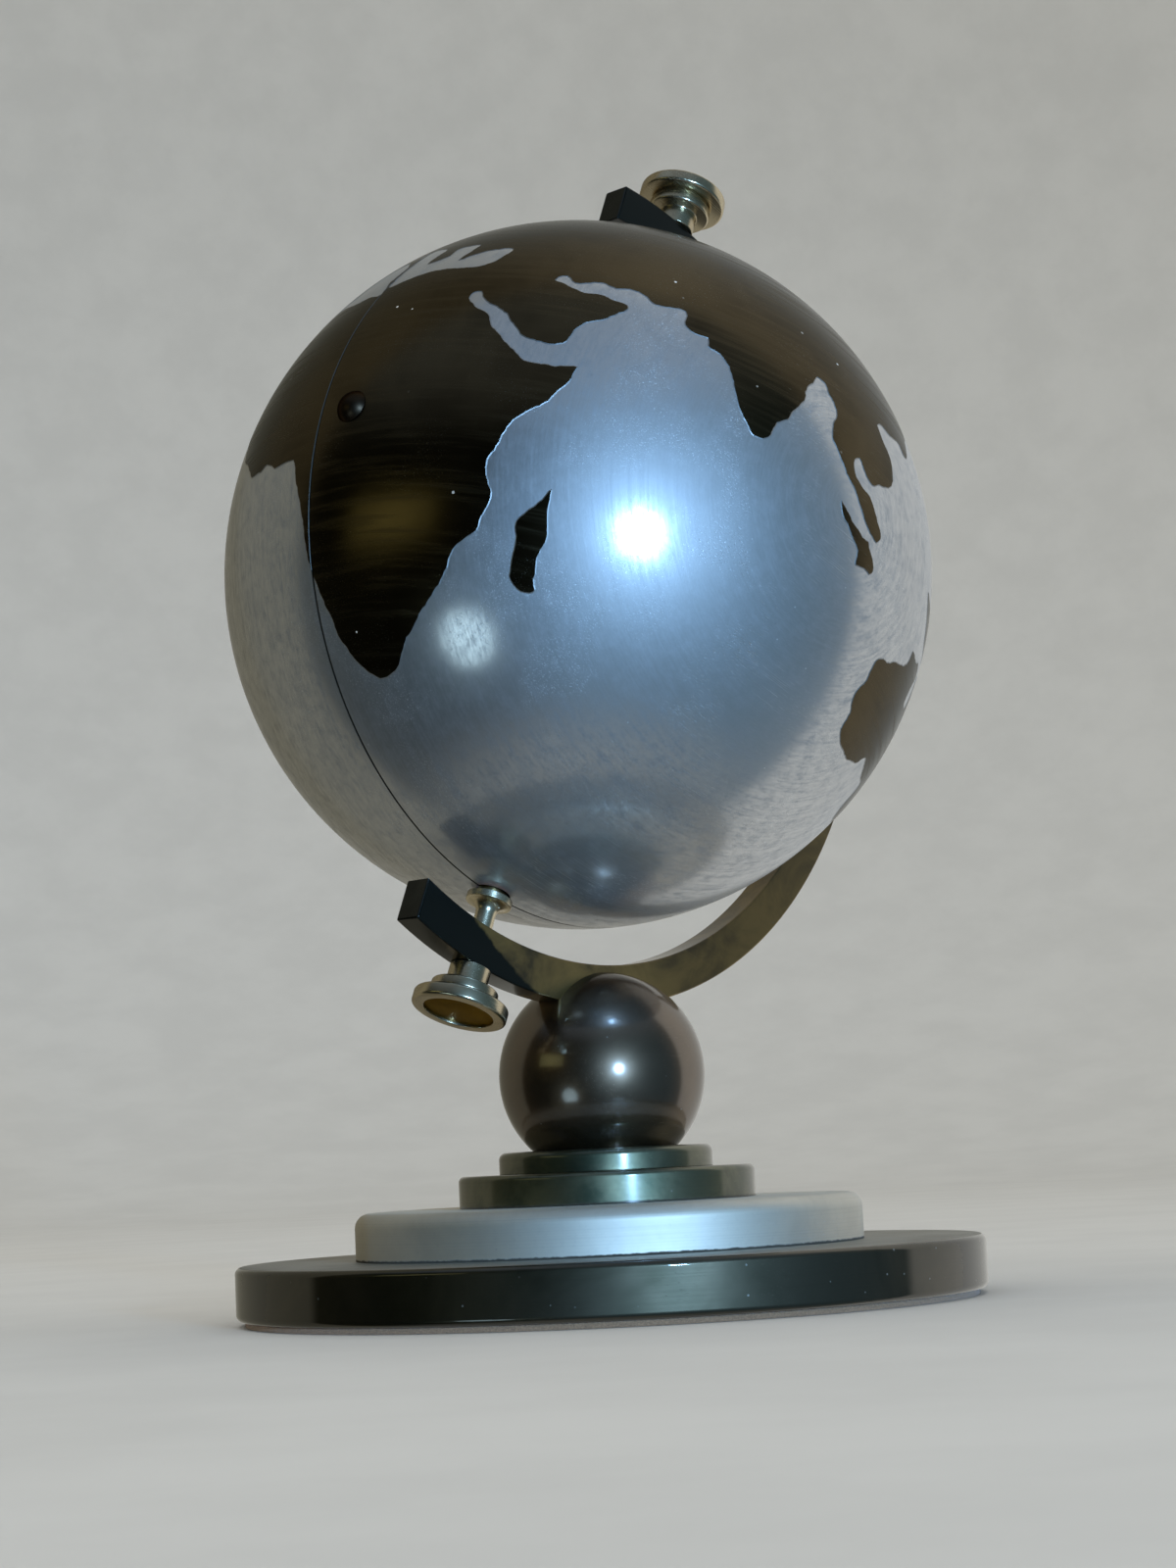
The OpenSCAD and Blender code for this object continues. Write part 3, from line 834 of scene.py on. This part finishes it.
def half_wall(bm, node, side, sizes):
    """Gives a skin its chamfered seam edge, its wall and its inner skin."""
    edge = millimetres(sizes.seam_edge)
    notch, inner = NOTCH[node], GLOBE_R - SHELL_T
    copy = only(BMFace, bmesh.ops.duplicate(bm, geom=bm.faces[:])["geom"])
    copied = set(copy)
    rim, inner_rim = ([e for e in bm.edges if e.is_boundary
                       and (e.link_faces[0] in copied) == within] for within in (False, True))
    borders = {v for e in inner_rim for v in e.verts}
    for v in {v for face in copy for v in face.verts}:
        v.co = (seam_place(v.co, side, notch, edge, inner) if v in borders
                else v.co.normalized() * inner)
    for face in copy:
        face.material_index = INSIDE
    bmesh.ops.reverse_faces(bm, faces=copy)
    for radius in (GLOBE_R - edge, inner):
        drawn = bmesh.ops.extrude_edge_only(bm, edges=rim)["geom"]
        fresh = set(only(BMVert, drawn))
        rim = [e for e in only(BMEdge, drawn) if all(v in fresh for v in e.verts)]
        for v in fresh:
            v.co = seam_place(v.co, side, notch, edge, radius)
        for face in only(BMFace, drawn):
            face.material_index = WALL
    bmesh.ops.remove_doubles(bm, verts=bm.verts, dist=1e-4)
    bmesh.ops.dissolve_degenerate(bm, edges=bm.edges, dist=1e-5)
    for face in bm.faces:
        face.smooth = face.material_index in (SEA, LAND, INSIDE)
    bmesh.ops.recalc_face_normals(bm, faces=bm.faces)


# ---------------------------------------------------------------- operators

class Builder(bpy.types.Operator):
    """Shared part of the operators that build a piece or a group of like pieces."""
    bl_options = {"REGISTER", "UNDO"}

    def execute(self, context):
        self.build(context.scene)
        return {"FINISHED"}


class BuildStage(Builder):
    """Camera, floor and light"""
    bl_idname = "globe.build_stage"
    bl_label = "Stage"

    def build(self, scene):
        stage = scene.globe_stage
        a = stage.azimuth
        ahead = Vector((-math.sin(a), math.cos(a), 0))
        right = Vector((math.cos(a), math.sin(a), 0))
        up = Vector((0, 0, 1))
        eye = -ahead * stage.distance + up * stage.height
        ahead, up = (ahead * math.cos(stage.pitch) + up * math.sin(stage.pitch),
                     up * math.cos(stage.pitch) - ahead * math.sin(stage.pitch))
        right, up = (right * math.cos(stage.roll) + up * math.sin(stage.roll),
                     up * math.cos(stage.roll) - right * math.sin(stage.roll))
        camera = bpy.data.cameras.new("camera")
        camera.lens, camera.sensor_width = stage.lens, 36
        camera.clip_start = 0.01
        held = bpy.data.objects.new("camera", camera)
        scene.collection.objects.link(held)
        turn_to = Matrix((right, up, -ahead)).transposed().to_4x4()
        held.matrix_world = Matrix.Translation(eye) @ turn_to
        scene.camera = held
        scene.view_settings.view_transform = "Standard"
        self.floor(scene)
        self.sky(scene, stage, ahead, right)
        self.lamps(scene, stage, right, up, -ahead)

    def floor(self, scene):
        """A round pale floor that sweeps up far behind the object on every side."""
        wide, tall = 2.2, 1.6
        bm = spun(((0, 0, 0), (wide / 2, 0, 0), (wide, 0, 0), (wide, 0, tall)),
                  [(0, 1), (1, 2), (2, 3)], (0, 0, 1), 96)
        foot = [e for e in bm.edges if all(abs(v.co.z) < 1e-6 and v.co.xy.length > wide - 0.1
                                           for v in e.verts)]
        rounded(bm, foot, 1.0, 16)
        bmesh.ops.recalc_face_normals(bm, faces=bm.faces)
        mesh = bpy.data.meshes.new("floor")
        bm.to_mesh(mesh)
        bm.free()
        mesh.shade_smooth()
        mesh.materials.append(pale_floor())
        floor = bpy.data.objects.new("floor", mesh)
        floor.visible_glossy = False
        scene.collection.objects.link(floor)

    def sky(self, scene, stage, ahead, right):
        """Pale surround behind the object, dim room in front of it."""
        world = bpy.data.worlds.new("surround")
        scene.world = world
        world.use_nodes = True
        f = Finish("surround", world.node_tree)
        aim = f.node("ShaderNodeTexCoord", output=0)

        def toward(direction):
            return f.node("ShaderNodeVectorMath", {"operation": "DOT_PRODUCT"},
                          {0: aim, 1: direction}, output=1)

        side = toward(right)
        room = f.mix(side.above(-0.35, 0.15), stage.corner, stage.room)
        room = f.mix(toward((0, 0, 1)).above(0.50, 0.90), room, stage.ceiling)
        pale = f.mix(side.above(-0.45, 0.35), stage.shaded, stage.surround)
        shown = f.mix(toward(ahead).above(0.12, 0.21), room, pale)
        shown = f.mix(toward((0, 0, 1)).below(-0.97, -0.70), shown, stage.under)
        matt = f.node("ShaderNodeLightPath", output=2)
        shown = f.mix(matt, shown, stage.ambient)
        glow = f.node("ShaderNodeBackground", inputs={"Color": shown, "Strength": 1.0})
        f.node("ShaderNodeOutputWorld", inputs={0: glow})

    def lamps(self, scene, stage, right, up, back):
        """A small key light, a broad dim glow, a warm strip and a large overhead light."""
        seen = Matrix((right, up, back)).transposed()

        def lamp(name, toward, far, size, power, tone, tall=None, mirrored=True):
            """An area light that shines on the globe. Mirrored ones show in the metal."""
            light = bpy.data.lights.new(name, "AREA")
            light.shape = "RECTANGLE" if tall else "DISK"
            light.size, light.size_y = size, tall or size
            light.energy, light.color = power, tone
            if mirrored:
                light.spread = math.radians(60)
            toward = toward.normalized()
            made = bpy.data.objects.new(name, light)
            made.location = Vector((0, 0, CENTRE.z)) + toward * far
            made.rotation_mode = "QUATERNION"
            made.rotation_quaternion = toward.to_track_quat("Z", "Y")
            made.visible_glossy = mirrored
            scene.collection.objects.link(made)

        key = stage.key_power
        lamp("key", seen @ Vector((0.32, 0.16, 0.93)), 1.5, 0.13, key, (0.33, 0.61, 1.0))
        lamp("second glow", seen @ Vector((-0.55, -0.35, 0.75)), 1.5, 0.44, key * 0.058,
             (0.62, 0.86, 0.98))
        lamp("warm strip", seen @ Vector((-0.84, 0.24, 0.47)), 1.6, 0.85, key * 0.024,
             (1.0, 0.95, 0.42), 0.32)
        lamp("overhead", Vector((0, 0, 1)), 1.5 - CENTRE.z, 1.6, stage.fill_power,
             (1.0, 0.97, 0.92), None, False)


class BuildHalves(Builder):
    """The two halves of the globe, with the map cut into their skins"""
    bl_idname = "globe.build_halves"
    bl_label = "Globe halves"

    def build(self, scene):
        # The chamfer and the wall along the seam get a dark silver: painted shade of the narrow
        # gap between the two halves.
        seam = polished("seam silver painted shade", (0.20, 0.19, 0.175), 0.35, dusty=0.25,
                        turned=True)
        finishes = [sea_satin(), land_polish(), coast_bright(), inner_skin(), seam]
        for node, body, side, name in (("front_shell", "lid", -1, "globe_front_half"),
                                       ("rear_shell", "globe", 1, "globe_rear_half")):
            skin = half_skin(node, side, scene.globe_sizes)
            half_wall(skin, node, side, scene.globe_sizes)
            made = piece(name, skin, body, finishes, node, POLAR, 0)
            round_normals(made.data, CENTRE, (SEA, LAND), (INSIDE,))


class BuildBase(Builder):
    """Felt, bottom disc, pale tier and the two dark steps"""
    bl_idname = "globe.build_base"
    bl_label = "Stepped base"

    def build(self, scene):
        tones = scene.globe_colours
        pad, disc = high("felt_pad"), high("base_disc")
        bm = turn([(0, 0, 0), (pad.x, 0, 0.15), (pad.x, pad.z, 0.2), (0, pad.z, 0)], False)
        piece("felt_pad_piece", bm, "stand", [brown_felt()], "felt_pad")
        foot, within, below_top = low("base_disc").z, disc.x - DISC_WALL, disc.z - DISC_WALL
        bm = turn([(SCREW_BORE, disc.z, 0), (disc.x, disc.z, 0.9), (disc.x, foot, 0.9),
                   (within, foot, 0), (within, below_top, 0), (SCREW_BORE, below_top, 0)])
        for face in bm.faces:
            face.material_index = int(face.normal.z > 0.9)
        chrome = polished("disc dark chrome", tones.chrome, 0.07, 0.8, (0.03, 0.032, 0.018),
                          0.045, lathe=3, dusty=0.4, foot=foot, glare=0.15, haze=0.32,
                          gloss=1.7)
        worn = polished("disc top worn satin", tones.worn, 0.36, 0.6, (0.30, 0.28, 0.23),
                        lathe=4)
        piece("base_disc_piece", bm, "stand", [chrome, worn], "base_disc")
        satin = polished("tier matt silver", tones.satin, 0.52, 0.4, None, 0.05, lathe=5,
                         dusty=0.15, foot=low("base_tier").z, glare=0.9, bump=0.008)
        dark = polished("step dark polish", tones.step, 0.13, 0.8, (0.05, 0.075, 0.05), 0.12,
                        lathe=3, foot=low("lower_step").z, glare=0.35, haze=0.34, gloss=1.7)
        for node, edge, finish, slot in (("base_tier", 2, satin, "tier_satin"),
                                         ("lower_step", 0.8, dark, "step_dark"),
                                         ("upper_step", 1, dark, "step_dark")):
            a, b = low(node), high(node)
            bm = turn([(SCREW_BORE, a.z, 0), (b.x, a.z, 0.08), (b.x, b.z, edge),
                       (SCREW_BORE, b.z, 0)])
            piece(node + "_piece", bm, "stand", [finish], node)


class BuildBall(Builder):
    """The ball that carries the arm"""
    bl_idname = "globe.build_ball"
    bl_label = "Ball"

    def build(self, scene):
        seat, top = low("ball"), high("ball")
        radius = top.x
        centre = top.z - math.sqrt(radius**2 - ARM_HALF**2)
        bm = bmesh.new()
        bmesh.ops.create_uvsphere(bm, u_segments=128, v_segments=96, radius=radius)
        bmesh.ops.translate(bm, vec=(0, 0, centre), verts=bm.verts)
        rim = cut_off(bm, (0, 0, seat.z), (0, 0, -1))
        for face in bmesh.ops.contextual_create(bm, geom=rim)["faces"]:
            face.material_index = 1
        bmesh.ops.recalc_face_normals(bm, faces=bm.faces)
        finish = polished("ball dark polish", scene.globe_colours.dark, 0.14, 0.7,
                          (0.085, 0.055, 0.033), 0.07, glare=0.3, haze=0.33, gloss=1.95,
                          scuffs=2.2)
        # The flat seat has a slot of its own, so that it keeps its flat normals.
        made = piece("ball_piece", bm, "stand", [finish, finish], "ball", sharp=0)
        made.data.shade_smooth()
        round_normals(made.data, (0, 0, centre * MM), (0,))


class BuildArm(Builder):
    """The half-round arm, a square bar bent about the globe"""
    bl_idname = "globe.build_arm"
    bl_label = "Arm"

    def build(self, scene):
        corners = [(ARM_IN, -ARM_HALF, 0), (ARM_OUT, -ARM_HALF, 0), (ARM_OUT, ARM_HALF, 0),
                   (ARM_IN, ARM_HALF, 0)]
        bm = spun(corners, [(i, i - 1) for i in range(4)], (0, 1, 0), 360)
        cut_off(bm, (-ARM_PAST, 0, 0), (-1, 0, 0))
        caps = bmesh.ops.holes_fill(bm, edges=[e for e in bm.edges if e.is_boundary], sides=0)
        for face in caps["faces"]:
            face.material_index = 1
        bmesh.ops.recalc_face_normals(bm, faces=bm.faces)
        bm.normal_update()
        rounded(bm, [e for e in bm.edges if e.is_manifold and e.calc_face_angle() > 0.8],
                millimetres(scene.globe_sizes.arm_edge), 3)
        bar = polished("arm tarnished bar", scene.globe_colours.bar, 0.13, 1.0,
                       (0.09, 0.075, 0.05), 0.09, dusty=0.35, turned=True, bump=0.006,
                       glare=0.5, haze=0.32, ends=(0.018, 0.021, 0.018))
        end = polished("arm end gunmetal", (0.07, 0.075, 0.075), 0.2, per_mm=0.2, turned=True,
                       glare=0.4)
        piece("arm_piece", bm, "stand", [bar, end], "arm", POLAR)


class BuildKnobs(Builder):
    """The stepped knobs at both ends of the polar axis, with their inlays"""
    bl_idname = "globe.build_knobs"
    bl_label = "Knobs"

    def build(self, scene):
        nickel = polished("knob warm nickel", scene.globe_colours.nickel, 0.17, 0.5,
                          (0.45, 0.36, 0.24), 0.2, turned=True, lathe=6)
        gold = polished("inlay brass", scene.globe_colours.inlay, 0.24, 0.6,
                        (0.14, 0.08, 0.006), 0.3, dusty=0.4, turned=True, lathe=8, glare=0.5)
        pin, collar, neck, step, groove = 0.8, 1.2, 2.8, 4.6, 3.9
        head = KNOB_OUT - 1.9
        shoulder, lip, pocket = head - 1.9, head - 0.4, KNOB_OUT - 0.5
        face = pocket + 0.2
        knob = [(0, PIN_IN, 0), (pin, PIN_IN, 0.15), (pin, ARM_IN, 0), (collar, ARM_IN, 0),
                (collar, ARM_OUT, 0), (neck, ARM_OUT, 0.12), (neck, shoulder, 0.2),
                (step, shoulder, 0.3), (step, lip, 0.3), (groove, lip, 0), (groove, head, 0),
                (KNOB_R, head, 0.4), (KNOB_R, KNOB_OUT, 0.4), (INLAY_R, KNOB_OUT, 0.1),
                (INLAY_R, pocket, 0), (0, pocket, 0)]
        plate = [(0, pocket, 0), (INLAY_R, pocket, 0), (INLAY_R, face, 0.06), (0, face, 0)]
        at_both_ends(("knob", knob, False, "knob_nickel", nickel),
                     ("inlay", plate, False, "inlay_brass", gold))


class BuildSpools(Builder):
    """The flared spools and fibre washers between the arm and the globe"""
    bl_idname = "globe.build_spools"
    bl_label = "Spools"

    def build(self, scene):
        nickel = polished("spool nickel", shade(scene.globe_colours.nickel, 1.3), 0.2,
                          per_mm=0.3, turned=True, lathe=6)
        bore, foot, flange, stem, top = 0.82, 50.5, 51.5, 1.4, 55.27
        flare = SPOOL_R - 0.25 - stem
        bend = [math.pi / 2 * i / 8 for i in range(9)]
        spool = [(bore, foot, 0), (SPOOL_R, foot, 0.12), (SPOOL_R, flange, 0.12),
                 *((stem + flare * (1 - math.sin(t)), flange + flare * (1 - math.cos(t)), 0)
                   for t in bend), (stem, top, 0), (bore, top, 0)]
        bore, rim, seat = 0.85, 2.3, foot - 0.3
        washer = [(bore, seat, 0), (rim, seat, 0.05), (rim, foot, 0.05), (bore, foot, 0)]
        at_both_ends(("spool", spool, True, "knob_nickel", nickel),
                     ("washer", washer, True, "fibre", red_fibre()))


class BuildButton(Builder):
    """The small domed button on the lid"""
    bl_idname = "globe.build_button"
    bl_label = "Thumb button"

    def build(self, scene):
        dome = (BUTTON_R**2 + BUTTON_H**2) / (2 * BUTTON_H)
        spread = math.asin(BUTTON_R / dome)
        bend = [spread * (1 - i / 12) for i in range(1, 13)]
        profile = [(0, GLOBE_R, 0), (BUTTON_R, GLOBE_R, 0),
                   *((dome * math.sin(t), GLOBE_R + BUTTON_H - dome * (1 - math.cos(t)), 0)
                     for t in bend)]
        finish = polished("button dark nickel", shade(scene.globe_colours.dark, 0.3), 0.35,
                          0.6, per_mm=0.4, turned=True, glare=0.3)
        lean = (Matrix.Rotation(math.radians(BUTTON_LON), 4, "Z")
                @ Matrix.Rotation(math.radians(90 - BUTTON_LAT), 4, "Y"))
        piece("thumb_button_piece", turn(profile, False), "lid", [finish],
              "thumb_button", POLAR @ lean, 40)


class BuildHinge(Builder):
    """Both hinge leaves and their pin"""
    bl_idname = "globe.build_hinge"
    bl_label = "Hinge"

    def build(self, scene):
        nickel = polished("hinge nickel", scene.globe_colours.nickel, 0.2, per_mm=0.3,
                          turned=True)
        steel = polished("pin steel", (0.56, 0.55, 0.53), 0.18, 0.3, None, 0.3, dusty=0.25,
                         turned=True)
        dress("hinge_rear_leaf", "globe", nickel)
        dress("hinge_lid_leaf", "lid", nickel)
        dress("hinge_pin", "globe", steel)


class BuildWorks(Builder):
    """Inner parts: rim ring, bushes, saddles, catch, ballast and fastenings"""
    bl_idname = "globe.build_works"
    bl_label = "Inner works"

    def build(self, scene):
        brass = polished("works brass", scene.globe_colours.brass, 0.26, 0.6,
                         (0.40, 0.27, 0.11), 0.1, turned=True)
        steel = polished("fastening steel", (0.52, 0.51, 0.50), 0.24, 0.3, None, 0.3,
                         dusty=0.25)
        iron = cast_iron()
        for node in ("rim_ring", "lower_bush", "upper_bush", "lower_saddle", "upper_saddle",
                     "catch_spring"):
            dress(node, "globe", brass)
        dress("catch_lug", "lid", brass)
        dress("ballast_plate", "stand", iron)
        for node in ("tie_screw", "tie_washer", "arm_dowel"):
            dress(node, "stand", steel)


BUILDERS = (BuildStage, BuildHalves, BuildBase, BuildBall, BuildArm, BuildKnobs, BuildSpools,
            BuildButton, BuildHinge, BuildWorks)


class GlobePanel(bpy.types.Panel):
    """Sidebar list of the globe's pieces and settings"""
    bl_idname = "VIEW3D_PT_globe"
    bl_label = "Desktop globe"
    bl_space_type = "VIEW_3D"
    bl_region_type = "UI"
    bl_category = "Globe"

    def draw(self, context):
        column = self.layout.column()
        for builder in BUILDERS:
            column.operator(builder.bl_idname)
        for group in GROUPS:
            settings = getattr(context.scene, group)
            for name in settings.bl_rna.properties.keys():
                if name not in ("rna_type", "name"):
                    column.prop(settings, name)


GROUPS = {"globe_sizes": GlobeSizes, "globe_colours": GlobeColours, "globe_stage": GlobeStage}


def register():
    for group in (*GROUPS.values(), *BUILDERS, GlobePanel):
        bpy.utils.register_class(group)
    for name, group in GROUPS.items():
        setattr(bpy.types.Scene, name, PointerProperty(type=group))


def unregister():
    for name in GROUPS:
        delattr(bpy.types.Scene, name)
    for group in reversed((*GROUPS.values(), *BUILDERS, GlobePanel)):
        bpy.utils.unregister_class(group)


def main():
    register()
    for builder in BUILDERS:
        family, name = builder.bl_idname.split(".")
        getattr(getattr(bpy.ops, family), name)()


if __name__ == "__main__":
    main()
